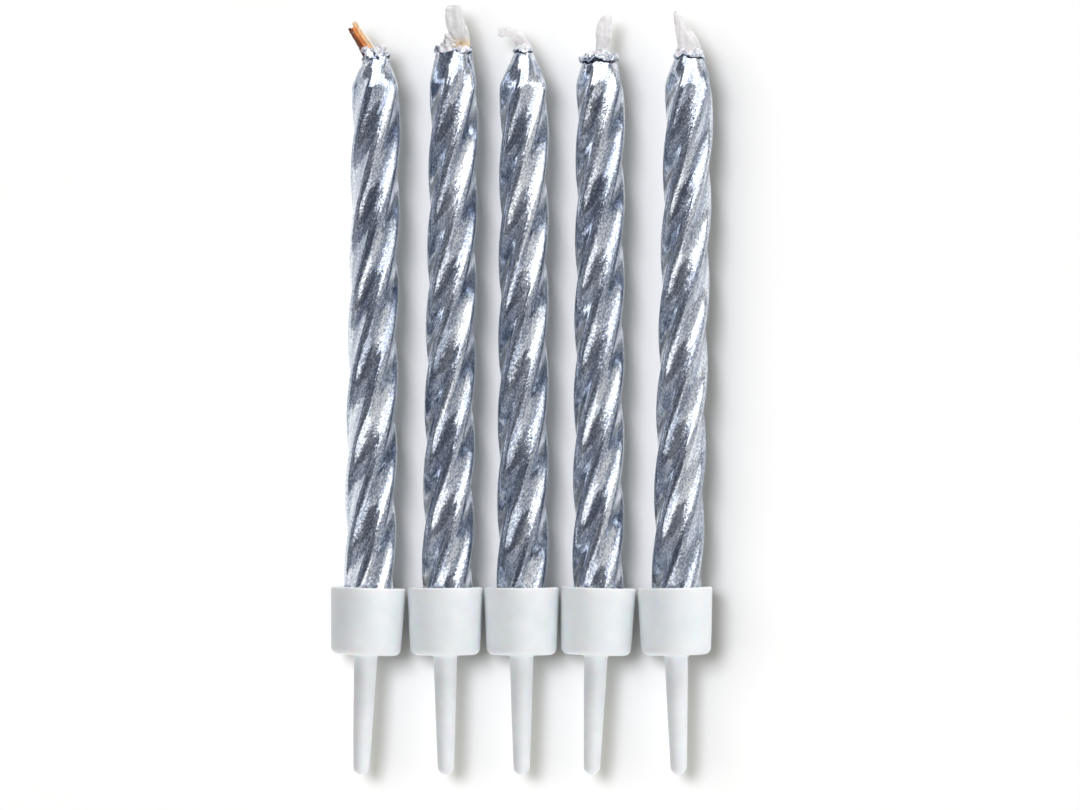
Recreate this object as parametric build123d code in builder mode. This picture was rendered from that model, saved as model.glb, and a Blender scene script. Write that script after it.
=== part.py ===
from build123d import *
import math
import os

os.makedirs("parts", exist_ok=True)

# A row of five spiral birthday candles, each standing in its own moulded holder.
# Millimetres, +Z up towards the wicks, +X along the row, -Y towards the viewer.
# The origin is the middle of the middle cup's underside.

# The row. Leans are degrees to the right going up, first candle to last.
COUNT = 5
ROW_GAP = 0.18
HOLDER_LEAN = (2.2, -0.3, 0.0, 2.0, -1.2)
CANDLE_LEAN = (0.8, 0.8, 0.2, 0.3, 1.4)
CANDLE_SHIFT = (0.13, 0.24, 0.08, -0.03, 0.24)

# Holder: a tapered cup with a tapered spike under it, one moulding
CUP_RIM_R = 3.86
CUP_FOOT_R = 3.60
CUP_HEIGHT = 6.95
CUP_FLOOR = 1.2
CUP_FOOT_ROUND = 0.75
CUP_BELLY = 0.02
RIM_BEVEL = 0.15
SPIKE_LENGTH = 12.35
SPIKE_ROOT_R = 1.2
SPIKE_TIP_R = 0.85
SPIKE_FLARE = 0.2
SPIKE_SIDES = 16

# Wax body: five rounded ridges with hollow flutes between them, twisted as a right-hand screw
RIDGES = 5
WAX_FOOT_R = 2.68
WAX_SHOULDER_R = 2.52
RIDGE_ROUND = 0.86
FLUTE_DEPTH = 0.51
TWIST_LEAD = 41.4
BODY_LENGTH = 57.3
BODY_LAYERS = 20
RIDGE_TURN = (60.4, 53.4, 65.4, 45.9, 54.4)
SOCKET_CLEARANCE = 0.36

# Top of the wax: a coned shoulder that the flutes run up, then the crumpled crown at the wick
SHOULDER_RISE = (2.6, 3.4, 3.5, 2.8, 3.2)
SHOULDER_BULGE = 0.54
FLUTE_FADE = (0.9, 0.6, 0.3, 0.1)
NECK_R = (1.32, 1.90, 0.98, 1.80, 1.52)
BRIM_R = (1.36, 1.86, 1.02, 2.02, 1.56)
BRIM_RISE = 0.15
CROWN_R = (1.28, 1.55, 0.92, 0.95, 1.36)
CROWN_RISE = (1.10, 0.55, 0.35, 1.00, 0.45)

# Wick: a round cord up the middle, flattened where it leaves the wax
WICK_R = 0.5
WICK_FIT = 0.02
WICK_START = 0.1
WICK_BASE_THICK = 0.9
WICK_TIP_THICK = 0.5
WICK_SIDES = 10
# Stations of the bare tip: sideways from the candle's axis, above the crown, width
WICK_TIP = (
    ((-0.55, 0.0, 1.50), (-1.60, 1.5, 1.10), (-2.50, 3.0, 0.80)),
    ((0.10, 0.0, 2.60), (0.05, 2.2, 2.00), (-0.20, 4.5, 1.75)),
    ((-0.15, 0.0, 1.50), (-0.45, 1.3, 1.25), (-1.45, 2.2, 1.10), (-2.65, 2.3, 1.05)),
    ((0.25, 0.0, 1.35), (0.40, 1.9, 1.30), (0.85, 3.6, 0.75)),
    ((-0.15, 0.0, 2.40), (-0.80, 2.0, 1.60), (-1.50, 4.2, 0.55)),
)

PITCH = 2 * CUP_RIM_R + ROW_GAP
SOCKET_R = WAX_FOOT_R + SOCKET_CLEARANCE


def upright(x, z, lean):
    """Plane whose Z runs up a leaning axis from the point (x, z) of the row's middle plane."""
    tilt = math.radians(lean)
    along = (math.cos(tilt), 0, -math.sin(tilt))
    up = (math.sin(tilt), 0, math.cos(tilt))
    return Plane((x, 0, z), x_dir=along, z_dir=up)


def lobe_points():
    """One ridge and the flute after it, as pairs of degrees and share of the ridge radius."""
    centre = WAX_FOOT_R - RIDGE_ROUND
    groove = WAX_FOOT_R - FLUTE_DEPTH
    half = math.pi / RIDGES
    slack = RIDGE_ROUND - groove
    far = (centre**2 - slack**2) / (2 * (centre * math.cos(half) + slack))
    end = math.atan2(far * math.sin(half), far * math.cos(half) - centre)
    points = []
    for part in (-1, -1 / 3, 1 / 3, 1):
        along = centre + RIDGE_ROUND * math.cos(part * end)
        across = RIDGE_ROUND * math.sin(part * end)
        points.append((math.degrees(math.atan2(across, along)), math.hypot(along, across) / WAX_FOOT_R))
    points.append((math.degrees(half), groove / WAX_FOOT_R))
    return points


def wax_ring(candle, lobe, height, radius, flute, foot_turn):
    """Closed row of points round the wax at one height; flute 1 is full depth, 0 is round."""
    turn = foot_turn + 360 * height / TWIST_LEAD
    ring = []
    for ridge in range(RIDGES):
        for degrees, share in lobe:
            angle = math.radians(turn + ridge * 360 / RIDGES + degrees)
            reach = radius * (1 - flute * (1 - share))
            spot = (reach * math.sin(angle), -reach * math.cos(angle), height)
            ring.append(candle.from_local_coords(spot))
    return ring


def oval_ring(plane, half_width, half_thick, sides):
    """Closed row of points round an oval on a plane."""
    ring = []
    for side in range(sides):
        angle = 2 * math.pi * side / sides
        spot = (half_width * math.cos(angle), half_thick * math.sin(angle), 0)
        ring.append(plane.from_local_coords(spot))
    return ring


def panel_skin(rings):
    """Closed solid of flat panels from ring to ring, light enough to repeat along the row."""
    panels = []
    for low, high in zip(rings, rings[1:]):
        for k in range(len(low)):
            after = (k + 1) % len(low)
            panels.append(Face(Wire.make_polygon([low[k], low[after], high[after]])))
            panels.append(Face(Wire.make_polygon([low[k], high[after], high[k]])))
    panels.append(Face(Wire.make_polygon(rings[0])))
    panels.append(Face(Wire.make_polygon(rings[-1])))
    return Solid(Shell(panels))


LOBE = lobe_points()

for i in range(COUNT):
    name = str(i + 1)
    rim_x = (i - (COUNT - 1) / 2) * PITCH
    holder_tilt = math.radians(HOLDER_LEAN[i])
    candle_tilt = math.radians(CANDLE_LEAN[i])

    # Each holder leans about the middle of its rim, so the rims stay evenly spaced
    cup = upright(
        rim_x - CUP_HEIGHT * math.sin(holder_tilt),
        CUP_HEIGHT * (1 - math.cos(holder_tilt)),
        HOLDER_LEAN[i],
    )
    floor = cup.offset(CUP_FLOOR)

    # Holder: the cup turned from its half outline, then the spike drawn down to a rounded tip
    round_end = CUP_FOOT_R + (CUP_RIM_R - CUP_FOOT_R) * CUP_FOOT_ROUND / CUP_HEIGHT
    belly = ((round_end + CUP_RIM_R) / 2 + CUP_BELLY, (CUP_FOOT_ROUND + CUP_HEIGHT) / 2)
    with BuildPart() as holder:
        with BuildSketch(Plane(cup.origin, x_dir=cup.x_dir, z_dir=-cup.y_dir)):
            with BuildLine():
                Polyline(
                    (0, 0),
                    (CUP_FOOT_R - CUP_FOOT_ROUND, 0),
                    (CUP_FOOT_R - 0.29 * CUP_FOOT_ROUND, 0.26 * CUP_FOOT_ROUND),
                    (round_end, CUP_FOOT_ROUND),
                )
                Bezier((round_end, CUP_FOOT_ROUND), belly, (CUP_RIM_R, CUP_HEIGHT - RIM_BEVEL))
                Polyline(
                    (CUP_RIM_R, CUP_HEIGHT - RIM_BEVEL),
                    (CUP_RIM_R - RIM_BEVEL, CUP_HEIGHT),
                    (SOCKET_R, CUP_HEIGHT),
                    (SOCKET_R, CUP_FLOOR),
                    (0, CUP_FLOOR),
                    (0, 0),
                )
            make_face()
        revolve(axis=Axis(cup.origin, cup.z_dir))
        spike = (
            (0, SPIKE_ROOT_R + SPIKE_FLARE),
            (SPIKE_FLARE, SPIKE_ROOT_R),
            (SPIKE_LENGTH - 0.8 * SPIKE_TIP_R, SPIKE_TIP_R),
            (SPIKE_LENGTH - 0.25 * SPIKE_TIP_R, 0.75 * SPIKE_TIP_R),
            (SPIKE_LENGTH, 0.35 * SPIKE_TIP_R),
        )
        add(panel_skin([oval_ring(cup.offset(-depth), r, r, SPIKE_SIDES) for depth, r in spike]))
    holder.part.label = "holder_" + name
    export_step(holder.part, "parts/holder_" + name + ".step")

    # The candle's axis passes the rim a little to one side and stands on the cup's floor
    drop = (Vector(rim_x + CANDLE_SHIFT[i], 0, CUP_HEIGHT) - floor.origin).dot(floor.z_dir)
    drop = drop / math.cos(candle_tilt - holder_tilt)
    candle = upright(
        rim_x + CANDLE_SHIFT[i] - drop * math.sin(candle_tilt),
        CUP_HEIGHT - drop * math.cos(candle_tilt),
        CANDLE_LEAN[i],
    )

    # Wax body: twisted barrel, shoulder, brim and crown, with its foot cut flat to the cup's floor
    below = 2 * WAX_FOOT_R * math.sin(abs(candle_tilt - holder_tilt))
    rings = []
    for layer in range(BODY_LAYERS + 1):
        height = -below + (BODY_LENGTH + below) * layer / BODY_LAYERS
        radius = WAX_FOOT_R + (WAX_SHOULDER_R - WAX_FOOT_R) * max(height, 0) / BODY_LENGTH
        rings.append(wax_ring(candle, LOBE, height, radius, 1, RIDGE_TURN[i]))
    neck = BODY_LENGTH + SHOULDER_RISE[i]
    crown = neck + CROWN_RISE[i]
    bulge = NECK_R[i] + (WAX_SHOULDER_R - NECK_R[i]) * SHOULDER_BULGE
    top = (
        ((BODY_LENGTH + neck) / 2, bulge),
        (neck, NECK_R[i]),
        (neck + BRIM_RISE, BRIM_R[i]),
        (crown, CROWN_R[i]),
    )
    for (height, radius), flute in zip(top, FLUTE_FADE):
        rings.append(wax_ring(candle, LOBE, height, radius, flute, RIDGE_TURN[i]))
    with BuildPart() as wax_body:
        add(panel_skin(rings))
        if below > 0:
            split(bisect_by=floor, keep=Keep.TOP)
        with BuildSketch(candle.offset(-below)):
            Circle(WICK_R + WICK_FIT)
        extrude(amount=crown + 2 * below, mode=Mode.SUBTRACT)
    wax_body.part.label = "wax_body_" + name
    export_step(wax_body.part, "parts/wax_body_" + name + ".step")

    # Wick: the cord inside the wax, then the flattened tip that rests on the crown
    with BuildPart() as wick:
        with BuildSketch(candle.offset(WICK_START)):
            Circle(WICK_R)
        extrude(amount=crown - WICK_START)
        stations = WICK_TIP[i]
        rows = []
        for k, (aside, rise, width) in enumerate(stations):
            before = stations[max(k - 1, 0)]
            after = stations[min(k + 1, len(stations) - 1)]
            run = Vector(after[0] - before[0], 0, after[1] - before[1]).normalized()
            if k == 0:
                run = Vector(0, 0, 1)
            thick = WICK_BASE_THICK + (WICK_TIP_THICK - WICK_BASE_THICK) * k / (len(stations) - 1)
            station = Plane(
                candle.from_local_coords((aside, 0, crown + rise)),
                x_dir=candle.x_dir * run.Z - candle.z_dir * run.X,
                z_dir=candle.x_dir * run.X + candle.z_dir * run.Z,
            )
            rows.append(oval_ring(station, width / 2, thick / 2, WICK_SIDES))
        add(panel_skin(rows))
    wick.part.label = "wick_" + name
    export_step(wick.part, "parts/wick_" + name + ".step")
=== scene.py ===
# %% [markdown]
# # Five silver spiral candles in their holders
#
# The real things are small twisted cake candles: a wax stick with five ridges turned like a
# screw, dipped in silver lacquer, with a flat wick, standing in a white moulded cup with a spike.
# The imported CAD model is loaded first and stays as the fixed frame. Every piece made below is
# shaped by hand tools in millimetres and then shrunk to metres and set on that frame.

# %% Load the frame
import math
import bpy
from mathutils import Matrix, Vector


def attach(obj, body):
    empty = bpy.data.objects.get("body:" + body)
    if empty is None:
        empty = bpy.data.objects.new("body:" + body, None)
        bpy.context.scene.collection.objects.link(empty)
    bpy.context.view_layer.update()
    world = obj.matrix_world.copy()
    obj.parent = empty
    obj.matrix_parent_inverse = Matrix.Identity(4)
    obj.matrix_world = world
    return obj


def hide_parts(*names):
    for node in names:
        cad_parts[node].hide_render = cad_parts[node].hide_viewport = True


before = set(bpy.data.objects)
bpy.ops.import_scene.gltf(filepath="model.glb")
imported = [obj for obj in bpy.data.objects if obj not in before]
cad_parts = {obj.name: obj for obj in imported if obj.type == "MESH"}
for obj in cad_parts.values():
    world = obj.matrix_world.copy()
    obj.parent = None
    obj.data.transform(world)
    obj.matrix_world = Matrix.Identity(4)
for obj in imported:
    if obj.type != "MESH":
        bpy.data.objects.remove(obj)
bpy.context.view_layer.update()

scene = bpy.context.scene
scene.view_settings.view_transform = "Standard"

# %% [markdown]
# ## Camera
#
# The photograph looks square at the row from far away: the rims show as straight lines. A long
# lens gives that. The frame of the photograph is 111.3 mm wide at the candles.

# %% Camera
FRAME_WIDE = 0.1113
LENS = 300
SENSOR = 36
VIEW_X = 0.0019
VIEW_Z = 0.02575
bpy.ops.object.camera_add(
    location=(VIEW_X, -FRAME_WIDE * LENS / SENSOR, VIEW_Z), rotation=(math.pi / 2, 0, 0)
)
camera = bpy.context.object
camera.data.lens = LENS
camera.data.sensor_width = SENSOR
camera.data.clip_start = 0.01
scene.camera = camera
print("camera stands", round(-camera.location.y, 3), "m from the row")

# %% [markdown]
# ## The row
#
# Each holder leans a little about the middle of its rim, and each candle leans in its own cup and
# stands on the cup's floor. These are the sizes of the CAD model again, in millimetres, because
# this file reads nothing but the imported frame.

# %% Row of cups and candles
CANDLES = 5
MIDDLE = CANDLES // 2
CUP_HEIGHT = 6.95
CUP_FLOOR = 1.2
PITCH = 7.9
HOLDER_LEAN = (2.2, -0.3, 0.0, 2.0, -1.2)
CANDLE_LEAN = (0.8, 0.8, 0.2, 0.3, 1.4)
CANDLE_SHIFT = (0.13, 0.24, 0.08, -0.03, 0.24)


def upward(lean):
    """The direction of an axis that leans this far to the right."""
    return Vector((math.sin(lean), 0, math.cos(lean)))


def cup_spot(i):
    """Middle of a cup's underside, and its lean in radians."""
    lean = math.radians(HOLDER_LEAN[i])
    rim = Vector(((i - MIDDLE) * PITCH, 0, CUP_HEIGHT))
    return rim - CUP_HEIGHT * upward(lean), lean


def candle_spot(i):
    """Point where a candle's axis meets the floor of its cup, and the candle's lean in radians."""
    cup, cup_lean = cup_spot(i)
    lean = math.radians(CANDLE_LEAN[i])
    cup_up = upward(cup_lean)
    up = upward(lean)
    at_rim = Vector(((i - MIDDLE) * PITCH + CANDLE_SHIFT[i], 0, CUP_HEIGHT))
    drop = (at_rim - cup - cup_up * CUP_FLOOR).dot(cup_up) / up.dot(cup_up)
    return at_rim - up * drop, lean


for i in range(CANDLES):
    print("candle", i + 1, "foot at", [round(c, 2) for c in candle_spot(i)[0]], "mm")

# %% [markdown]
# ## Hand tools
#
# Operators act on whatever is selected, so each step first deselects everything and then picks
# the points it wants by where they lie. A piece that is done is shrunk from millimetres to
# metres, leaned and moved, and all of that is applied, so its object sits at the origin.


# %% Select, shape and place
def only(piece):
    """Make one piece the only thing that operators act on."""
    if bpy.context.object and bpy.context.object.mode != "OBJECT":
        bpy.ops.object.mode_set(mode="OBJECT")
    bpy.ops.object.select_all(action="DESELECT")
    piece.select_set(True)
    bpy.context.view_layer.objects.active = piece


def pick(piece, wanted):
    """Open edit mode with just the points that the test wants selected."""
    only(piece)
    bpy.ops.object.mode_set(mode="EDIT")
    bpy.ops.mesh.select_mode(type="VERT")
    bpy.ops.mesh.select_all(action="DESELECT")
    bpy.ops.object.mode_set(mode="OBJECT")
    for point in piece.data.vertices:
        point.select = wanted(point.co)
    bpy.ops.object.mode_set(mode="EDIT")


def pick_upright_edges(piece):
    """Open edit mode with just the edges that run up the piece selected."""
    only(piece)
    bpy.ops.object.mode_set(mode="EDIT")
    bpy.ops.mesh.select_mode(type="EDGE")
    bpy.ops.mesh.select_all(action="DESELECT")
    bpy.ops.object.mode_set(mode="OBJECT")
    points = piece.data.vertices
    for edge in piece.data.edges:
        low, high = edge.vertices
        edge.select = abs(points[low].co.z - points[high].co.z) > 0.01
    bpy.ops.object.mode_set(mode="EDIT")


def finish_modifier(piece, kind, **settings):
    """Add a modifier, set it and apply it."""
    only(piece)
    step = piece.modifiers.new(kind.lower(), kind)
    for name, value in settings.items():
        setattr(step, name, value)
    bpy.ops.object.modifier_apply(modifier=step.name)


MM = 0.001


def set_down(piece, spot, lean):
    """Shrink a piece from millimetres to metres, lean it to the right and move it to its spot."""
    only(piece)
    piece.scale = (MM, MM, MM)
    piece.rotation_euler = (0, lean, 0)
    piece.location = spot * MM
    bpy.ops.object.transform_apply(location=True, rotation=True, scale=True)


def triangles(piece):
    return sum(len(face.vertices) - 2 for face in piece.data.polygons)


print("pieces are shaped in millimetres and set down times", MM)

# %% [markdown]
# ## Holder
#
# One white moulding: a cup with a thin wall, a rounded foot and a spike. It is round all the way,
# so its half outline is drawn as a chain of points, one extrude after another, and spun about the
# middle. The bevel then takes the sharpness off the rim, as a mould does.

# %% Half outline of the holder
CUP_RIM_R = 3.86
CUP_FOOT_R = 3.60
CUP_SIDE = [(3.70, 2.5), (3.78, 4.7)]
FOOT_ROUND = 0.75
RIM_ROUND = 0.12
SOCKET_R = 3.04
SPIKE_LENGTH = 12.35
SPIKE_TIP_R = 0.84
SPIKE_SIDE = [(0.97, -8), (1.10, -4), (1.20, -0.35), (1.27, -0.1), (1.42, 0)]
ARC_STEPS = 8


def arc(centre, radius, start, end):
    """Points along an arc in the outline, angles in degrees from the outward direction."""
    points = []
    for k in range(ARC_STEPS + 1):
        angle = math.radians(start + (end - start) * k / ARC_STEPS)
        points.append((centre[0] + radius * math.cos(angle), centre[1] + radius * math.sin(angle)))
    return points


outline = [(0, -SPIKE_LENGTH)]
outline += arc((0, -SPIKE_LENGTH + SPIKE_TIP_R), SPIKE_TIP_R, -80, 0)
outline += SPIKE_SIDE
outline += arc((CUP_FOOT_R - FOOT_ROUND, FOOT_ROUND), FOOT_ROUND, -90, 0)
outline += CUP_SIDE
outline += [(CUP_RIM_R, CUP_HEIGHT - RIM_ROUND), (CUP_RIM_R - RIM_ROUND, CUP_HEIGHT)]
outline += [(SOCKET_R + RIM_ROUND, CUP_HEIGHT), (SOCKET_R, CUP_HEIGHT - RIM_ROUND)]
outline += [(SOCKET_R, CUP_FLOOR), (0, CUP_FLOOR)]
print("outline of", len(outline), "points")

# %% Spin the holder
HOLDER_AROUND = 72
MOULD_ROUND = 0.08
bpy.ops.object.select_all(action="DESELECT")
bpy.ops.mesh.primitive_plane_add(size=1)
first_holder = bpy.context.object
bpy.ops.object.mode_set(mode="EDIT")
bpy.ops.mesh.merge(type="CENTER")
bpy.ops.transform.translate(value=(outline[0][0], 0, outline[0][1]))
for here, there in zip(outline, outline[1:]):
    bpy.ops.mesh.extrude_region_move(
        TRANSFORM_OT_translate={"value": (there[0] - here[0], 0, there[1] - here[1])}
    )
bpy.ops.mesh.select_all(action="SELECT")
bpy.ops.mesh.spin(steps=HOLDER_AROUND, angle=2 * math.pi, center=(0, 0, 0), axis=(0, 0, 1))
bpy.ops.mesh.select_all(action="SELECT")
bpy.ops.mesh.remove_doubles(threshold=0.001)
bpy.ops.mesh.normals_make_consistent(inside=False)
bpy.ops.object.mode_set(mode="OBJECT")
finish_modifier(
    first_holder, "BEVEL", width=MOULD_ROUND, segments=2, limit_method="ANGLE", angle_limit=math.radians(35)
)
bpy.ops.object.shade_smooth_by_angle(angle=math.radians(50))
print("holder has", triangles(first_holder), "triangles")

# %% Five holders in the row
holders = []
for i in range(CANDLES):
    only(first_holder)
    bpy.ops.object.duplicate()
    holder = bpy.context.object
    holder.name = "moulded_holder_%d" % (i + 1)
    set_down(holder, *cup_spot(i))
    holders.append(holder)
only(first_holder)
bpy.ops.object.delete()
print("holders stand at", [round(cup_spot(i)[0].x, 2) for i in range(CANDLES)])

# %% [markdown]
# ## Wax body
#
# The section is five rounded ridges with shallow hollow flutes between them. A circle is pulled
# into that shape by scaling its points group by group, the outline is drawn up into a straight
# column, the shoulder is drawn in ring by ring, and last the whole column is twisted. Each
# point's place before the twist is kept as an attribute, so that the lacquer can be streaked
# along the ridges afterwards.

# %% Section of the wax
RIDGES = 5
RIDGE_R = 2.68
RIDGE_ROUND = 0.86
FLUTE_DEPTH = 0.44
LOBE = 360 // RIDGES
HALF_LOBE = LOBE // 2


def section_reach(degrees):
    """Distance from the axis to the surface, this many degrees away from a ridge."""
    half = math.pi / RIDGES
    away = abs((math.radians(degrees) + half) % (2 * half) - half)
    centre = RIDGE_R - RIDGE_ROUND
    groove = RIDGE_R - FLUTE_DEPTH
    slack = RIDGE_ROUND - groove
    far = (centre**2 - slack**2) / (2 * (centre * math.cos(half) + slack))
    flute = far - groove
    end = math.atan2(far * math.sin(half), far * math.cos(half) - centre)
    join = math.atan2(RIDGE_ROUND * math.sin(end), centre + RIDGE_ROUND * math.cos(end))
    if away < join:
        return centre * math.cos(away) + math.sqrt(RIDGE_ROUND**2 - (centre * math.sin(away)) ** 2)
    off = half - away
    return far * math.cos(off) - math.sqrt(flute**2 - (far * math.sin(off)) ** 2)


MEAN_SHARE = sum(section_reach(k) for k in range(HALF_LOBE)) / HALF_LOBE / RIDGE_R
print("ridge", section_reach(0), "groove", round(section_reach(HALF_LOBE), 3), "mm from the axis")

# %% Straight ridged column
AROUND = 120
RING_CUTS = (15, 14)
BODY_LENGTH = 57.3
FOOT_SPARE = 0.3
SHOULDER_R = 2.52


def azimuth(co):
    """Degrees to the right of the front."""
    return math.degrees(math.atan2(co.x, -co.y))


def pull_ridges(column):
    """Pull a flat circle into the ridged section, group by group of points."""
    step = 360 / AROUND
    for group in range(round(HALF_LOBE / step) + 1):
        away = group * step

        def in_group(co):
            turn = (azimuth(co) + HALF_LOBE) % LOBE - HALF_LOBE
            return abs(abs(turn) - away) < step / 4

        pick(column, in_group)
        share = section_reach(away) / RIDGE_R
        bpy.ops.transform.resize(value=(share, share, 1), center_override=(0, 0, 0))


# %% Shoulder drawn in to the neck
SHOULDER_RISE = (2.6, 3.4, 3.5, 2.45, 2.95)
NECK_R = (1.32, 1.90, 0.98, 1.80, 1.52)
SHOULDER_CURVE = 1.12
FLUTES_FADED = 0.95
FADE_CURVE = 0.7


def ridged_column(i):
    """A straight, slightly tapered column with five ridges, its shoulder drawn in to the neck."""
    bpy.ops.object.select_all(action="DESELECT")
    bpy.ops.mesh.primitive_circle_add(vertices=AROUND, radius=RIDGE_R, location=(0, 0, 0))
    column = bpy.context.object
    pull_ridges(column)
    height = FOOT_SPARE + BODY_LENGTH + SHOULDER_RISE[i]
    bpy.ops.mesh.select_all(action="SELECT")
    bpy.ops.mesh.extrude_region_move(TRANSFORM_OT_translate={"value": (0, 0, height)})
    for cuts in RING_CUTS:
        pick_upright_edges(column)
        bpy.ops.mesh.subdivide(number_cuts=cuts)
    slimmer = (SHOULDER_R / RIDGE_R - 1) * height / (FOOT_SPARE + BODY_LENGTH)
    finish_modifier(column, "SIMPLE_DEFORM", deform_method="TAPER", deform_axis="Z", factor=slimmer)
    rings = sorted({round(point.co.z, 1) for point in column.data.vertices})
    for level in rings:
        climb = (level - FOOT_SPARE - BODY_LENGTH) / SHOULDER_RISE[i]
        if climb > 0:
            rounding = FLUTES_FADED * climb**FADE_CURVE
            drawn = SHOULDER_R + (NECK_R[i] - SHOULDER_R) * climb**SHOULDER_CURVE
            drawn /= 1 - (1 - MEAN_SHARE) * rounding
            share = drawn / (RIDGE_R * (1 + slimmer * level / height))
            pick(column, lambda co: round(co.z, 1) == level)
            bpy.ops.transform.resize(value=(share, share, 1), center_override=(0, 0, level))
            bpy.ops.transform.tosphere(value=rounding)
    bpy.ops.object.mode_set(mode="OBJECT")
    return column


print("necks end", [round(BODY_LENGTH + rise, 2) for rise in SHOULDER_RISE], "mm above the foot")

# %% [markdown]
# ### Crown
#
# Where the wick leaves the wax the lacquer ends in a ragged lip with a shaded groove under it, and
# the bare wax puckers up to the wick. No two are alike: one is a stack of crumples, one has a brim
# like a hat. The top ring is extruded in steps, each scaled to its own radius, and the last ring
# is merged to a point. One displacement makes the lip ragged and a second crumples it. Sculpting
# would do it too, but steps can be read and changed. The groove band is kept as a number on each
# point, where the lacquer gets painted shade.

# %% Crown steps: height above the neck, radius, sideways shift
CROWN = (
    (
        (0.15, 1.28, -0.01), (0.30, 1.30, -0.03), (0.45, 1.24, -0.06), (0.60, 1.30, -0.09),
        (0.75, 1.24, -0.12), (0.90, 1.26, -0.16), (1.05, 1.28, -0.20), (1.20, 1.20, -0.22),
        (1.28, 0.98, -0.24), (1.20, 0.66, -0.32), (1.05, 0.32, -0.45),
    ),
    (
        (0.04, 1.64, -0.02), (0.14, 1.62, -0.04), (0.19, 1.94, -0.16), (0.30, 1.98, -0.18),
        (0.38, 1.84, -0.12), (0.40, 1.62, 0), (0.46, 1.50, 0.02), (0.56, 1.42, 0.05),
        (0.64, 1.20, 0.08), (0.58, 0.80, 0.1), (0.48, 0.40, 0.1),
    ),
    (
        (0.04, 0.80, 0), (0.12, 0.80, -0.04), (0.16, 1.05, -0.10), (0.25, 1.08, -0.12),
        (0.32, 0.98, -0.10), (0.40, 0.92, -0.06), (0.52, 0.84, -0.04), (0.70, 0.72, -0.05),
        (0.90, 0.58, -0.12), (1.02, 0.34, -0.18),
    ),
    (
        (0.04, 1.50, 0), (0.18, 1.46, -0.04), (0.22, 1.80, -0.08), (0.26, 2.02, -0.14),
        (0.40, 2.10, -0.16), (0.56, 2.06, -0.16), (0.68, 1.86, -0.14), (0.78, 1.60, -0.12),
        (0.90, 1.42, -0.06), (1.06, 1.26, 0), (1.24, 1.06, 0.08), (1.38, 0.80, 0.15),
        (1.36, 0.35, 0.22),
    ),
    (
        (0.04, 1.32, 0), (0.16, 1.30, 0), (0.20, 1.60, 0), (0.32, 1.66, 0.02),
        (0.44, 1.56, 0.02), (0.54, 1.50, 0), (0.66, 1.48, -0.02), (0.78, 1.38, -0.03),
        (0.86, 1.16, -0.05), (0.80, 0.85, -0.08), (0.66, 0.40, -0.1),
    ),
)
BARE_FROM = (1.10, 0.41, 0.34, 0.74, 0.46)
# Height band above the neck whose lacquer gets painted shade, per candle.
GROOVE = ((0.42, 0.48), (0.02, 0.15), (0.02, 0.13), (0.02, 0.19), (0.02, 0.17))
print("crown steps", [len(steps) for steps in CROWN])


# %% Draw up the crown
def keep_number(piece, name, values):
    """Keep one number on each point, for a material to read."""
    piece.data.attributes.new(name, "FLOAT", "POINT").data.foreach_set("value", values)


def draw_up_crown(column, i, neck):
    """Draw the crown up from the neck, part bare wax from lacquer and mark the groove band for painted
    shade.
    """
    pick(column, lambda co: co.z > neck - 0.01)
    level, radius, aside = neck, NECK_R[i], 0
    for rise, wanted, shift in CROWN[i]:
        move = (shift - aside, 0, neck + rise - level)
        bpy.ops.mesh.extrude_region_move(TRANSFORM_OT_translate={"value": move})
        level, aside = neck + rise, shift
        share = wanted / radius
        radius = wanted
        bpy.ops.transform.resize(value=(share, share, 1), center_override=(aside, 0, level))
    bpy.ops.mesh.merge(type="CENTER")
    bpy.ops.object.mode_set(mode="OBJECT")
    for face in column.data.polygons:
        face.material_index = 1 if face.center.z > neck + BARE_FROM[i] else 0
    # Points in the groove band are marked for painted shade in the lacquer.
    low, high = GROOVE[i]
    dark = [float(low < point.co.z - neck < high) for point in column.data.vertices]
    keep_number(column, "groove", dark)


# %% Make its lip ragged and crumple it
RAGGED = (1.60, 1.90, 0.90, 1.20, 1.50)
RAG_SIZE = (0.9, 1.3, 0.9, 1.0, 1.2)
CRUMPLE = (0.85, 0.30, 0.16, 0.22, 0.26)
FOLD_SIZE = (0.62, 0.45, 0.48, 0.51, 0.54)
SMOOTH_BELOW = 0.12
CRUMPLE_FADE = 0.2


def crumpled_crown(column, i):
    """Draw up the crown, then push its points up and down, and then in and out."""
    neck = FOOT_SPARE + BODY_LENGTH + SHOULDER_RISE[i]
    draw_up_crown(column, i, neck)
    crown = column.vertex_groups.new(name="crown")
    for point in column.data.vertices:
        share = min(max((point.co.z - neck + SMOOTH_BELOW) / CRUMPLE_FADE, 0), 1)
        if share > 0:
            crown.add([point.index], share, "REPLACE")
    rags = bpy.data.textures.new("rags_%d" % i, "CLOUDS")
    rags.noise_scale = RAG_SIZE[i]
    finish_modifier(
        column, "DISPLACE", texture=rags, texture_coords="LOCAL", direction="Z",
        strength=RAGGED[i], mid_level=0.5, vertex_group="crown",
    )
    folds = bpy.data.textures.new("folds_%d" % i, "VORONOI")
    folds.noise_scale = FOLD_SIZE[i]
    finish_modifier(
        column, "DISPLACE", texture=folds, texture_coords="LOCAL",
        strength=CRUMPLE[i], mid_level=0.55, vertex_group="crown",
    )


# %% [markdown]
# ### Twist
#
# The twist is right-handed, one turn in about 41 mm, and each candle stands with its ridges
# turned its own way. A Screw modifier could sweep the section, but twisting a finished column keeps
# each point's place before the twist, which the lacquer needs. The foot is cut flat on the floor of
# the cup.

# %% Keep the places, twist and cut
TURN_LENGTH = (41.6, 40.7, 41.7, 40.9, 41.8)
RIDGE_AT = (39, 32, 44, 24.5, 33)
RIDGE_LEVEL = 30.2
STREAKS_APART = 100
POLISH_BELOW = 0.4
FLOOR_GAP = 0.01


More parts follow.
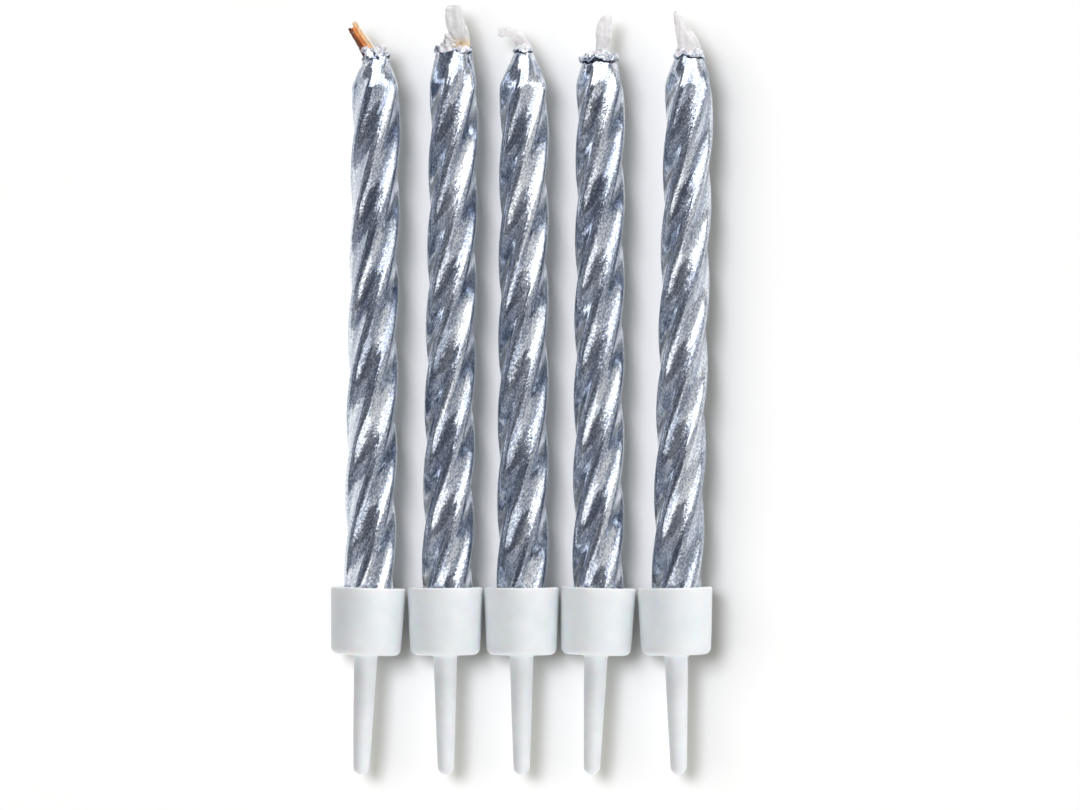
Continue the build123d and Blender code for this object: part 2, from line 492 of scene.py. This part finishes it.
def keep_places(body, i):
    """Keep each point's place before the twist, and how polished the lacquer is there."""
    places = []
    for point in body.data.vertices:
        places += (point.co.x, point.co.y, point.co.z + STREAKS_APART * i)
    kept = body.data.attributes.new("before_twist", "FLOAT_VECTOR", "POINT")
    kept.data.foreach_set("vector", places)
    smooth_from = FOOT_SPARE + BODY_LENGTH - POLISH_BELOW
    polish = [min(max(point.co.z - smooth_from, 0), 1) for point in body.data.vertices]
    keep_number(body, "polish", polish)


def twist(body, i):
    """Twist the column and turn it until a ridge stands where it does on this candle."""
    heights = [point.co.z for point in body.data.vertices]
    turn = 2 * math.pi * (max(heights) - min(heights)) / TURN_LENGTH[i]
    finish_modifier(body, "SIMPLE_DEFORM", deform_method="TWIST", deform_axis="Z", angle=turn)
    turned = 360 * (RIDGE_LEVEL + FOOT_SPARE) / TURN_LENGTH[i]
    body.location.z = -FOOT_SPARE
    body.rotation_euler.z = math.radians(RIDGE_AT[i] - turned)
    bpy.ops.object.transform_apply(location=True, rotation=True, scale=True)


def cut_foot(body, i):
    """Cut the foot flat, just above the floor of the leaning cup."""
    cup, cup_lean = cup_spot(i)
    cup_up = upward(cup_lean)
    floor = (cup + cup_up * (CUP_FLOOR + FLOOR_GAP)) * MM
    pick(body, lambda co: True)
    bpy.ops.mesh.bisect(plane_co=floor, plane_no=cup_up, use_fill=True, clear_inner=True)
    bpy.ops.mesh.select_all(action="SELECT")
    bpy.ops.mesh.normals_make_consistent(inside=False)
    bpy.ops.object.mode_set(mode="OBJECT")
    bpy.ops.object.shade_smooth_by_angle(angle=math.radians(55))


# %% Make the five wax bodies
wax_bodies = []
for i in range(CANDLES):
    body = ridged_column(i)
    crumpled_crown(body, i)
    body.name = "twisted_wax_%d" % (i + 1)
    keep_places(body, i)
    twist(body, i)
    set_down(body, *candle_spot(i))
    cut_foot(body, i)
    wax_bodies.append(body)
    top = max(point.co.z for point in body.data.vertices) / MM
    print(body.name, triangles(body), "triangles, top at", round(top, 2), "mm")

# %% [markdown]
# ## Wicks
#
# A wick is a flat cotton cord soaked in wax. A flattened outline with a few strands showing is
# drawn along a path that comes up the middle of the candle and leaves it with that candle's own
# bend. The path's radius gives the width at each point, so one curve does what a chain of
# extrudes would need many steps for. The first wick is burst into four strands, and the second has
# a crinkled film of wax beside it.

# %% Outline of the flat cord
CORD_POINTS = 48
STRAND_DEPTH = 0.07


def cord_outline(name, thick, strands):
    """A closed flat outline one millimetre wide, scalloped by its strands."""
    outline = bpy.data.curves.new(name, "CURVE")
    outline.dimensions = "2D"
    ring = outline.splines.new("POLY")
    ring.points.add(CORD_POINTS - 1)
    for k, point in enumerate(ring.points):
        angle = 2 * math.pi * k / CORD_POINTS
        swell = 1 - STRAND_DEPTH * (1 + math.cos(strands * angle)) / 2
        point.co = (0.5 * swell * math.cos(angle), thick / 2 * swell * math.sin(angle), 0, 1)
    ring.use_cyclic_u = True
    outline_object = bpy.data.objects.new(name, outline)
    scene.collection.objects.link(outline_object)
    return outline_object


flat_outline = cord_outline("flat_outline", 0.28, 7)
round_outline = cord_outline("round_outline", 0.9, 5)
print("two outlines of", CORD_POINTS, "points")


# %% Draw a wick along its path
def draw_wick(name, outline_object, path):
    """Draw the outline along (sideways, front to back, height, width) points, in millimetres."""
    bpy.ops.object.select_all(action="DESELECT")
    bpy.ops.curve.primitive_bezier_curve_add(location=(0, 0, 0))
    cord = bpy.context.object
    cord.name = name
    cord.data.dimensions = "3D"
    cord.data.twist_mode = "MINIMUM"
    cord.data.resolution_u = 10
    points = cord.data.splines[0].bezier_points
    points.add(len(path) - 2)
    for point, (x, y, z, width) in zip(points, path):
        point.co = (x, y, z)
        point.handle_left_type = point.handle_right_type = "AUTO"
        point.radius = width
    cord.data.bevel_mode = "OBJECT"
    cord.data.bevel_object = outline_object
    cord.data.use_fill_caps = True
    only(cord)
    bpy.ops.object.convert(target="MESH")
    return bpy.context.object


# %% Paths of the five wicks: sideways, above the crown, width
CROWN_RISE = (1.10, 0.55, 0.35, 1.35, 0.70)
STRANDS = (
    ((-1.42, -0.1, 0.40), (-1.99, 0.9, 0.38), (-2.50, 1.7, 0.34), (-2.90, 2.34, 0.26)),
    ((-0.98, 0.0, 0.56), (-1.60, 1.0, 0.50), (-2.12, 1.8, 0.44), (-2.52, 2.42, 0.34)),
    ((-0.60, 0.0, 0.54), (-1.28, 1.1, 0.50), (-1.92, 2.05, 0.44), (-2.48, 2.88, 0.34)),
    ((-0.24, 0.0, 0.40), (-0.98, 1.2, 0.38), (-1.70, 2.25, 0.34), (-2.30, 3.08, 0.26)),
)
WICK = (
    None,
    (
        (0.60, 0.05, 1.80), (0.70, 0.8, 1.78), (0.50, 1.6, 1.95), (0.12, 2.4, 2.0),
        (-0.10, 3.3, 1.85), (-0.13, 4.15, 1.72), (-0.12, 4.5, 1.05),
    ),
    (
        (-0.15, 0.1, 1.60), (-0.24, 0.6, 1.50), (-0.50, 1.15, 1.25), (-1.10, 1.70, 1.18),
        (-1.80, 1.88, 1.15), (-2.50, 1.88, 1.12), (-2.78, 1.88, 0.9),
    ),
    (
        (0.28, 0.1, 1.58), (0.30, 1.0, 1.62), (0.33, 1.8, 1.70), (0.44, 2.7, 1.58),
        (0.72, 3.3, 1.05), (0.94, 3.62, 0.50),
    ),
    (
        (-0.05, 0.0, 2.60), (-0.32, 1.0, 2.28), (-0.68, 1.9, 1.80), (-1.12, 2.8, 1.12),
        (-1.42, 3.6, 0.80), (-1.58, 4.2, 0.45),
    ),
)
CRINKLE = (
    (-0.62, -0.2, 1.9), (-0.60, 0.3, 1.85), (-0.52, 0.8, 1.60), (-0.42, 1.3, 1.25),
    (-0.32, 1.75, 0.8), (-0.25, 2.0, 0.5),
)


def wick_path(i, bend):
    """The whole path, from the foot of the candle up the middle and out along the bend."""
    crown = BODY_LENGTH + SHOULDER_RISE[i] + CROWN_RISE[i]
    path = [(0, 0, 0.1, 1.0), (0, 0, crown - 8, 1.0), (0, 0, crown - 2.5, 1.0)]
    for aside, rise, width in bend:
        path.append((aside, 0, crown + rise, width))
    return path


print("first wick has", len(STRANDS), "strands")

# %% Draw the wicks and set them in the candles
BURST, FILMED = 0, 1
fibres = bpy.data.textures.new("fibres", "CLOUDS")
fibres.noise_scale = 0.5
creases = bpy.data.textures.new("creases", "VORONOI")
creases.noise_scale = 0.45


def roughen(part, texture, strength, mid_level):
    finish_modifier(
        part, "DISPLACE", texture=texture, texture_coords="LOCAL", strength=strength, mid_level=mid_level
    )


wick_parts = []
for i in range(CANDLES):
    name = "waxed_wick_%d" % (i + 1)
    if i == BURST:
        parts = [draw_wick(name, round_outline, wick_path(i, bend)) for bend in STRANDS]
    else:
        parts = [draw_wick(name, flat_outline, wick_path(i, WICK[i]))]
    if i == FILMED:
        parts.append(draw_wick(name, flat_outline, wick_path(i, CRINKLE)))
        roughen(parts[-1], creases, 0.6, 0.4)
    for part in parts:
        roughen(part, fibres, 0.16, 0.5)
        bpy.ops.object.shade_smooth_by_angle(angle=math.radians(60))
        set_down(part, *candle_spot(i))
    wick_parts.append(parts)
    print(name, [triangles(part) for part in parts], "triangles")
for outline_object in (flat_outline, round_outline):
    only(outline_object)
    bpy.ops.object.delete()

# %% [markdown]
# ## Surfaces
#
# Every surface is mixed from noise and no picture is needed; a few marks are painted shade and highlight.
# The wax reads the place that each point had before the twist, in millimetres, so that a pattern
# stretched upwards follows the ridges round. The other pieces read Object coordinates, in metres.
# The helpers below each add one node to a tree and give back what comes out of it.


# %% Helpers: materials and where a pattern lies
def new_material(name):
    """A material with a Principled shader, and the tree it is in."""
    material = bpy.data.materials.new(name)
    material.use_nodes = True
    return material, material.node_tree, material.node_tree.nodes["Principled BSDF"]


def add_attribute(tree, name):
    node = tree.nodes.new("ShaderNodeAttribute")
    node.attribute_name = name
    return node


def add_object_place(tree):
    return tree.nodes.new("ShaderNodeTexCoord").outputs["Object"]


def add_stretch(tree, place, scale):
    mapping = tree.nodes.new("ShaderNodeMapping")
    mapping.inputs["Scale"].default_value = scale
    tree.links.new(place, mapping.inputs["Vector"])
    return mapping.outputs["Vector"]


# %% Helpers: noise, colours and ranges
def add_noise(tree, place, scale, detail=3, roughness=0.5):
    noise = tree.nodes.new("ShaderNodeTexNoise")
    noise.inputs["Scale"].default_value = scale
    noise.inputs["Detail"].default_value = detail
    noise.inputs["Roughness"].default_value = roughness
    tree.links.new(place, noise.inputs["Vector"])
    return noise.outputs["Fac"]


def add_ramp(tree, amount, stops):
    """A colour ramp through (position, colour) stops."""
    ramp = tree.nodes.new("ShaderNodeValToRGB")
    elements = ramp.color_ramp.elements
    while len(elements) < len(stops):
        elements.new(0.5)
    for element, (position, colour) in zip(elements, stops):
        element.position = position
        element.color = (*colour, 1)
    tree.links.new(amount, ramp.inputs["Fac"])
    return ramp.outputs["Color"]


def add_range(tree, amount, low, high, out_low, out_high):
    """Spread an amount from one range over another, and hold it there."""
    spread = tree.nodes.new("ShaderNodeMapRange")
    sockets = ("From Min", "From Max", "To Min", "To Max")
    for socket, value in zip(sockets, (low, high, out_low, out_high)):
        spread.inputs[socket].default_value = value
    tree.links.new(amount, spread.inputs["Value"])
    return spread.outputs["Result"]


def add_mix(tree, amount, colour, other):
    """Mix towards another, fixed colour by an amount."""
    node = tree.nodes.new("ShaderNodeMix")
    node.data_type = "RGBA"
    tree.links.new(amount, node.inputs["Factor"])
    tree.links.new(colour, node.inputs[6])
    node.inputs[7].default_value = (*other, 1)
    return node.outputs[2]


# %% Helpers: sums and bumps
def add_math(tree, kind, one, two):
    node = tree.nodes.new("ShaderNodeMath")
    node.operation = kind
    for socket, value in zip(node.inputs, (one, two)):
        if isinstance(value, (int, float)):
            socket.default_value = value
        else:
            tree.links.new(value, socket)
    return node.outputs["Value"]


def add_blend(tree, one, two, share):
    """A share of one amount, and the rest from another."""
    first = add_math(tree, "MULTIPLY", one, share)
    return add_math(tree, "ADD", first, add_math(tree, "MULTIPLY", two, 1 - share))


def add_vector(tree, kind, one, two=None):
    """One step of vector maths; LENGTH gives back a number."""
    node = tree.nodes.new("ShaderNodeVectorMath")
    node.operation = kind
    tree.links.new(one, node.inputs[0])
    if isinstance(two, tuple):
        node.inputs[1].default_value = two
    elif two:
        tree.links.new(two, node.inputs["Scale"] if kind == "SCALE" else node.inputs[1])
    return node.outputs["Value" if kind == "LENGTH" else "Vector"]


def add_bump(tree, height, strength, distance, before=None):
    bump = tree.nodes.new("ShaderNodeBump")
    bump.inputs["Strength"].default_value = strength
    bump.inputs["Distance"].default_value = distance
    tree.links.new(height, bump.inputs["Height"])
    if before:
        tree.links.new(before, bump.inputs["Normal"])
    return bump.outputs["Normal"]


# %% [markdown]
# ### Silver lacquer
#
# The finish that matters. It is a mirror full of metal flakes: streaked along the ridges by the
# dipping, grainy in patches, polished on the shoulder, and with painted shade in the groove of
# the crown. One noise stretched along the ridges gives the streaks, a fine one the flakes, and
# cells that each tilt the surface a little their own way give the glitter. A plain rough metal
# would be smooth and grey here, and the grain is what makes it look like lacquer.

# %% Silver lacquer: colour
LACQUER = ((0.41, (0.27, 0.31, 0.40)), (0.50, (0.53, 0.58, 0.67)), (0.59, (0.90, 0.93, 0.97)))
GROOVE_PAINTED_SHADE = (0.08, 0.08, 0.11)
silver, tree, shader = new_material("silver_lacquer")
place = add_attribute(tree, "before_twist").outputs["Vector"]
streaks = add_noise(tree, add_stretch(tree, place, (1, 1, 0.07)), 1.15, 2, 0.4)
flakes = add_noise(tree, add_stretch(tree, place, (1, 1, 0.7)), 5.5, 3, 0.65)
colour = add_ramp(tree, add_blend(tree, streaks, flakes, 0.4), LACQUER)
# Painted shade: the lacquer goes near black in the crown's groove.
groove = add_math(tree, "MULTIPLY", add_attribute(tree, "groove").outputs["Fac"], 0.9)
tree.links.new(add_mix(tree, groove, colour, GROOVE_PAINTED_SHADE), shader.inputs["Base Color"])
shader.inputs["Metallic"].default_value = 0.97
print("lacquer runs through", len(LACQUER), "greys")

# %% Silver lacquer: polish, dents and glitter
polish = add_attribute(tree, "polish").outputs["Fac"]
patches = add_noise(tree, add_stretch(tree, place, (1, 1, 0.25)), 0.9, 2)
grainy = add_range(tree, patches, 0.42, 0.62, 0, 1)
grainy = add_math(tree, "MULTIPLY", grainy, add_range(tree, polish, 0, 1, 1.0, 0.12))
smooth = add_range(tree, add_noise(tree, place, 0.35, 2), 0.35, 0.65, 0.07, 0.11)
rough = add_math(tree, "ADD", smooth, add_math(tree, "MULTIPLY", grainy, 0.11))
tree.links.new(rough, shader.inputs["Roughness"])
ripples = add_math(tree, "MULTIPLY", streaks, add_range(tree, polish, 0, 1, 1.0, 0.4))
dents = add_bump(tree, ripples, 0.3, 0.00022)
dents = add_bump(tree, flakes, 0.3, 0.00003, dents)
cells = tree.nodes.new("ShaderNodeTexVoronoi")
cells.inputs["Scale"].default_value = 8.0
tree.links.new(add_stretch(tree, place, (1, 1, 0.8)), cells.inputs["Vector"])
each_way = add_vector(tree, "SUBTRACT", cells.outputs["Color"], (0.5, 0.5, 0.5))
tilt = add_vector(tree, "SCALE", each_way, add_range(tree, grainy, 0, 1, 0.03, 0.12))
facing = add_vector(tree, "NORMALIZE", add_vector(tree, "ADD", dents, tilt))
tree.links.new(facing, shader.inputs["Normal"])
print(silver.name, "has", len(tree.nodes), "nodes")

# %% [markdown]
# ### Bare wax
#
# Above the lip the wax is bare: milky, smeared with a little silver, and soft enough for light to
# go in. A white diffuse surface would look like chalk, so it gets some subsurface light.

# %% Bare wax where the lacquer ends
SMEARED = ((0.36, (0.44, 0.44, 0.50)), (0.50, (0.72, 0.71, 0.76)), (0.62, (0.86, 0.85, 0.88)))
bare_wax, tree, shader = new_material("bare_wax")
smears = add_noise(tree, add_attribute(tree, "before_twist").outputs["Vector"], 2.4, 3)
tree.links.new(add_ramp(tree, smears, SMEARED), shader.inputs["Base Color"])
tree.links.new(add_range(tree, smears, 0.35, 0.65, 0.20, 0.45), shader.inputs["Roughness"])
shader.inputs["Subsurface Weight"].default_value = 0.2
shader.inputs["Subsurface Scale"].default_value = 0.0005
tree.links.new(add_bump(tree, smears, 0.5, 0.0002), shader.inputs["Normal"])
for body in wax_bodies:
    body.data.materials.append(silver)
    body.data.materials.append(bare_wax)
print("each wax body has", len(body.data.materials), "finishes")

# %% [markdown]
# ### White plastic
#
# The holders are moulded in a cool white plastic that lets a little light in. Its white is uneven
# where the melt flowed, and its skin has a very fine grain. Both are weak, or it would look dirty.

# %% White moulded plastic
FLOWED = ((0.3, (0.78, 0.815, 0.84)), (0.7, (0.84, 0.87, 0.89)))
plastic, tree, shader = new_material("white_plastic")
place = add_object_place(tree)
flow = add_noise(tree, place, 500, 3)
grain = add_noise(tree, place, 4000, 2)
tree.links.new(add_ramp(tree, flow, FLOWED), shader.inputs["Base Color"])
tree.links.new(add_range(tree, flow, 0.3, 0.7, 0.28, 0.40), shader.inputs["Roughness"])
shader.inputs["Subsurface Weight"].default_value = 0.3
shader.inputs["Subsurface Scale"].default_value = 0.0012
tree.links.new(add_bump(tree, grain, 0.15, 0.00002), shader.inputs["Normal"])
for holder in holders:
    holder.data.materials.append(plastic)
print(plastic.name, "is on", len(holders), "holders")

# %% [markdown]
# ### Waxed cotton
#
# The white wicks are fibres under clear wax, so they are partly see-through. The first wick is
# dyed, and its four strands run from painted shade in dark brown on the lower left, through red and
# orange, to a painted highlight in pale on the top. The second has a yellow stain and a small
# brown spot where it leaves the wax. Strands are noise stretched upwards, which is near enough on
# wicks that mostly point up.


# %% Waxed cotton: white, and the four strands of the gold wick
def waxed_cotton(name, dark, light, clear=0.0):
    """Cotton fibres under wax, streaked along the cord; wax alone is partly clear."""
    material, tree, shader = new_material(name)
    place = add_object_place(tree)
    strands = add_noise(tree, add_stretch(tree, place, (1, 1, 0.14)), 3000, 3)
    lumps = add_noise(tree, place, 1100, 3)
    stops = ((0.36, dark), (0.62, light))
    tree.links.new(add_ramp(tree, add_blend(tree, strands, lumps, 0.6), stops), shader.inputs["Base Color"])
    tree.links.new(add_range(tree, lumps, 0.3, 0.7, 0.30, 0.55), shader.inputs["Roughness"])
    shader.inputs["Transmission Weight"].default_value = clear
    shader.inputs["IOR"].default_value = 1.4
    tree.links.new(add_bump(tree, strands, 0.5, 0.00010), shader.inputs["Normal"])
    return material


white_cotton = waxed_cotton("white_waxed_cotton", (0.74, 0.72, 0.74), (0.95, 0.94, 0.94), 0.45)
gold_strands = (
    # Brown is painted shade on the lower-left strand, red and orange are the dye, and pale is a painted
    # highlight on the top strand.
    waxed_cotton("shaded_brown_strand", (0.05, 0.015, 0.01), (0.22, 0.06, 0.02)),
    waxed_cotton("red_strand", (0.50, 0.09, 0.02), (0.86, 0.34, 0.10)),
    waxed_cotton("orange_strand", (0.78, 0.34, 0.12), (0.95, 0.60, 0.32)),
    waxed_cotton("highlight_pale_strand", (0.80, 0.62, 0.44), (0.94, 0.86, 0.76)),
)
print("cottons", white_cotton.name, [strand.name for strand in gold_strands])

# %% The second wick is stained where it leaves the wax
STAIN_LOW, STAIN_HIGH = 0.0629, 0.0638
STAIN_YELLOW = (0.90, 0.70, 0.44)
SPOT_AT = (-0.00623, 0, 0.06298)
SPOT_BROWN = (0.46, 0.36, 0.15)
stained_cotton = waxed_cotton("stained_cotton", (0.66, 0.65, 0.66), (0.93, 0.92, 0.92), 0.35)
tree = stained_cotton.node_tree
shader = tree.nodes["Principled BSDF"]
place = add_object_place(tree)
height = tree.nodes.new("ShaderNodeSeparateXYZ")
tree.links.new(place, height.inputs["Vector"])
plain = shader.inputs["Base Color"].links[0].from_socket
stain = add_range(tree, height.outputs["Z"], STAIN_LOW, STAIN_HIGH, 0.85, 0.0)
flat_place = add_vector(tree, "MULTIPLY", place, (1, 0, 1))
from_spot = add_vector(tree, "LENGTH", add_vector(tree, "SUBTRACT", flat_place, SPOT_AT))
spot = add_range(tree, from_spot, 0.00008, 0.0003, 0.9, 0.0)
colour = add_mix(tree, stain, plain, STAIN_YELLOW)
tree.links.new(add_mix(tree, spot, colour, SPOT_BROWN), shader.inputs["Base Color"])
print(stained_cotton.name, "is yellow up to", STAIN_HIGH / MM, "mm")

# %% Give each wick its cotton and join its parts
cottons = {BURST: gold_strands, FILMED: (stained_cotton, white_cotton)}
for i, parts in enumerate(wick_parts):
    for part, cotton in zip(parts, cottons.get(i, (white_cotton,))):
        part.data.materials.append(cotton)
    only(parts[0])
    for part in parts:
        part.select_set(True)
    if len(parts) > 1:
        bpy.ops.object.join()
wicks = [parts[0] for parts in wick_parts]
print("wicks", [wick.name for wick in wicks])

# %% [markdown]
# ## Which piece stands for which CAD node
#
# The holders are fixed in the cake. Each candle, wax and wick together, lifts out of its cup.

# %% Ride and replace
for i in range(CANDLES):
    n = str(i + 1)
    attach(holders[i], "holder_row")
    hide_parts("holder_" + n)
    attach(wax_bodies[i], "candle_" + n)
    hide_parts("wax_body_" + n)
    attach(wicks[i], "candle_" + n)
    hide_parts("wick_" + n)
print(len(holders + wax_bodies + wicks), "pieces ride on the frame")

# %% [markdown]
# ## Table
#
# The candles lie on a white board and are seen from straight above it, so the board stands upright
# here, just behind the cups. It is plain white to the eye, to mirrors and through clear wax. For
# light that only bounces it is darker, or it would throw so much light back that the shadows on it
# and the undersides of the cups would go flat. From behind it is clear, so that the back of the row
# can be looked at.

# %% Table board
BOARD_Y = 0.0042
BOARD_SIZE = 1.2
bpy.ops.object.select_all(action="DESELECT")
bpy.ops.mesh.primitive_plane_add(
    size=BOARD_SIZE, location=(0, BOARD_Y, VIEW_Z), rotation=(math.pi / 2, 0, 0)
)
board = bpy.context.object
board.name = "white_board"
bpy.ops.object.transform_apply(location=True, rotation=True, scale=True)
board.visible_shadow = False
print("board faces", [round(c, 2) for c in board.data.polygons[0].normal])


# %% Board white
def add_seen(tree):
    """One for rays from the eye, off a mirror or through a clear piece, nought for bounced light."""
    ray = tree.nodes.new("ShaderNodeLightPath").outputs
    sharp = add_math(tree, "MAXIMUM", ray["Is Camera Ray"], ray["Is Glossy Ray"])
    return add_math(tree, "MAXIMUM", sharp, ray["Is Transmission Ray"])


PAPER = ((0.3, (0.895, 0.895, 0.895)), (0.7, (0.905, 0.905, 0.905)))
BOUNCED = (0.4, 0.4, 0.4)
board_white, tree, shader = new_material("board_white")
white = add_ramp(tree, add_noise(tree, add_object_place(tree), 40, 2), PAPER)
unseen = add_math(tree, "SUBTRACT", 1.0, add_seen(tree))
tree.links.new(add_mix(tree, unseen, white, BOUNCED), shader.inputs["Base Color"])
shader.inputs["Roughness"].default_value = 0.9
shader.inputs["Specular IOR Level"].default_value = 0.0
clear = tree.nodes.new("ShaderNodeBsdfTransparent")
sides = tree.nodes.new("ShaderNodeMixShader")
behind = tree.nodes.new("ShaderNodeNewGeometry").outputs["Backfacing"]
tree.links.new(behind, sides.inputs["Fac"])
tree.links.new(shader.outputs["BSDF"], sides.inputs[1])
tree.links.new(clear.outputs["BSDF"], sides.inputs[2])
tree.links.new(sides.outputs["Shader"], tree.nodes["Material Output"].inputs["Surface"])
board.data.materials.append(board_white)
print(board_white.name, "has", len(tree.nodes), "nodes")

# %% [markdown]
# ## Reflection cards
#
# Silver shows what stands around it, so a studio stands cards round it: white ones where a streak
# should be bright, dark ones beside them for the contrast. These are strips of a drum round the
# row, and only mirrors see them, so they neither light the board nor hide it. Each is set by two
# azimuths, a brightness and two elevations. The ridges look up and right, so the white ones at the
# upper front draw the long white streaks, the dark ones at the left draw the wedges between them,
# and those at the back keep the silver alive from behind.


# %% One card
CARD_AWAY = 0.5
CARD_AROUND = 180
COOL = (0.88, 0.94, 1.09)
WARM = (1.04, 1.0, 0.95)


def reflection_card(name, start, end, level, low, high, tint=(1, 1, 1)):
    """A curved card that only mirrors see, between two azimuths and two elevations in degrees."""
    bpy.ops.object.select_all(action="DESELECT")
    bpy.ops.mesh.primitive_circle_add(vertices=CARD_AROUND, radius=CARD_AWAY, location=(0, 0, 0))
    card = bpy.context.object
    card.name = name
    pick(card, lambda co: not start <= azimuth(co) <= end)
    bpy.ops.mesh.delete(type="VERT")
    bpy.ops.mesh.select_all(action="SELECT")
    low, high = (CARD_AWAY * math.tan(math.radians(angle)) for angle in (low, high))
    bpy.ops.mesh.extrude_region_move(TRANSFORM_OT_translate={"value": (0, 0, high - low)})
    bpy.ops.object.mode_set(mode="OBJECT")
    card.location.z = VIEW_Z + low
    bpy.ops.object.transform_apply(location=True, rotation=True, scale=True)
    material, tree, shader = new_material(name)
    shader.inputs["Base Color"].default_value = (0, 0, 0, 1)
    shader.inputs["Specular IOR Level"].default_value = 0.0
    shader.inputs["Emission Color"].default_value = (*tint, 1)
    shader.inputs["Emission Strength"].default_value = level
    card.data.materials.append(material)
    card.visible_camera = False
    card.visible_diffuse = False
    card.visible_transmission = False
    card.visible_shadow = False
    return card


# %% The drum of cards: name, azimuths, brightness, elevations
cards = [
    reflection_card("top_white", -50, 62, 2.6, 24, 64),
    reflection_card("key_white", -12, 34, 2.2, 11.5, 24),
    reflection_card("key_right", 34, 68, 1.8, 11.5, 24),
    reflection_card("top_grey", 62, 68, 0.60, 24, 62),
    reflection_card("key_edge", 68, 130, 0.50, 11.5, 40),
    reflection_card("front_grey", 18, 130, 0.61, -13.5, 11.5),
    reflection_card("front_dark", -56, 18, 0.155, -13.5, 11.5, COOL),
    reflection_card("left_mid", -98, -56, 0.36, -13.5, 11.5, COOL),
    reflection_card("upper_dark", -50, -12, 0.21, 11.5, 24, COOL),
    reflection_card("left_dark", -98, -50, 0.21, 11.5, 74, COOL),
    reflection_card("low_dark", -98, -32, 0.22, -44, -13.5, COOL),
    reflection_card("low_white", -32, 42, 1.4, -44, -13.5),
    reflection_card("low_grey", 42, 130, 0.55, -44, -13.5),
    reflection_card("right_grey", 130, 170, 0.42, -45, 30),
    reflection_card("left_low", -170, -98, 1.0, -45, -13, WARM),
    reflection_card("left_white", -170, -134, 1.6, -13, 10),
    reflection_card("left_grey", -134, -98, 0.46, -13, 10, WARM),
    reflection_card("left_shade", -170, -98, 0.20, 10, 60, WARM),
]
print(len(cards), "cards stand round the row")

# %% [markdown]
# ## Lamps
#
# Light linking lets each lamp do one job. Four soft panels, at the right, below, above and behind,
# light only the candles and shape the cups. The panel behind may not bounce, or it would lift the
# shadows. Three soft suns light only the board and lay its shadows: a narrow one the firm shadow
# close to each piece, a broad one the wide soft shadow to the right, and a very broad one a little
# warm light in both.


# %% Soft panels for the candles
PANEL_AWAY = 0.7
candles = bpy.data.collections.new("lit_by_panels")
for piece in holders + wax_bodies + wicks:
    candles.objects.link(piece)


def soft_panel(name, side, climb, wide, tall, energy):
    """A soft panel, so many degrees to the side and up from the row, lighting the candles only."""
    bpy.ops.object.light_add(type="AREA")
    panel = bpy.context.object
    panel.name = name
    side, climb = math.radians(side), math.radians(climb)
    level = math.cos(climb)
    away = Vector((math.sin(side) * level, -math.cos(side) * level, math.sin(climb)))
    panel.location = Vector((0, 0, VIEW_Z)) + PANEL_AWAY * away
    panel.rotation_euler = (-away).to_track_quat("-Z", "Y").to_euler()
    panel.data.shape = "RECTANGLE"
    panel.data.size = wide
    panel.data.size_y = tall
    panel.data.energy = energy
    panel.visible_camera = False
    panel.visible_glossy = False
    panel.light_linking.receiver_collection = candles
    return panel


soft_panel("right_lamp", 72, 12, 0.9, 0.9, 3.75)
soft_panel("low_lamp", 0, -60, 0.9, 0.6, 4.1)
soft_panel("top_lamp", 0, 68, 0.6, 0.4, 3.9)
back_lamp = soft_panel("back_lamp", 180, 8, 1.2, 1.2, 6.5)
back_lamp.data.cycles.max_bounces = 0

# %% Soft suns for the board
lit = bpy.data.collections.new("lit_by_board_lamps")
lit.objects.link(board)


def board_lamp(name, shine, energy, spread, colour):
    """A soft sun that lights the board only and lays the shadows."""
    bpy.ops.object.light_add(type="SUN")
    lamp = bpy.context.object
    lamp.name = name
    lamp.rotation_euler = Vector(shine).to_track_quat("-Z", "Y").to_euler()
    lamp.data.energy = energy
    lamp.data.angle = math.radians(spread)
    lamp.data.color = colour
    lamp.light_linking.receiver_collection = lit


board_lamp("near_shadow", (0.29, 1.0, -0.22), 1.62, 22, (0.985, 0.99, 1.07))
board_lamp("far_shadow", (0.75, 1.0, -0.25), 1.4, 50, (1.0, 1.0, 0.96))
board_lamp("wide_shadow", (0.0, 1.0, -0.10), 0.3, 120, (1.03, 1.0, 0.60))

# %% [markdown]
# ## Room
#
# The room is white to the eye and to mirrors, as the photograph's ground is, and only a weak light
# for everything else, so that it doesn't wash out the shadows.

# %% World: white to the eye and to mirrors, weaker as a light
ROOM_LIGHT = 0.2
world = bpy.data.worlds.new("white_room")
scene.world = world
world.use_nodes = True
tree = world.node_tree
background = tree.nodes["Background"]
background.inputs["Color"].default_value = (1, 1, 1, 1)
tree.links.new(add_range(tree, add_seen(tree), 0, 1, ROOM_LIGHT, 1.0), background.inputs["Strength"])
print("the room lights at", ROOM_LIGHT)
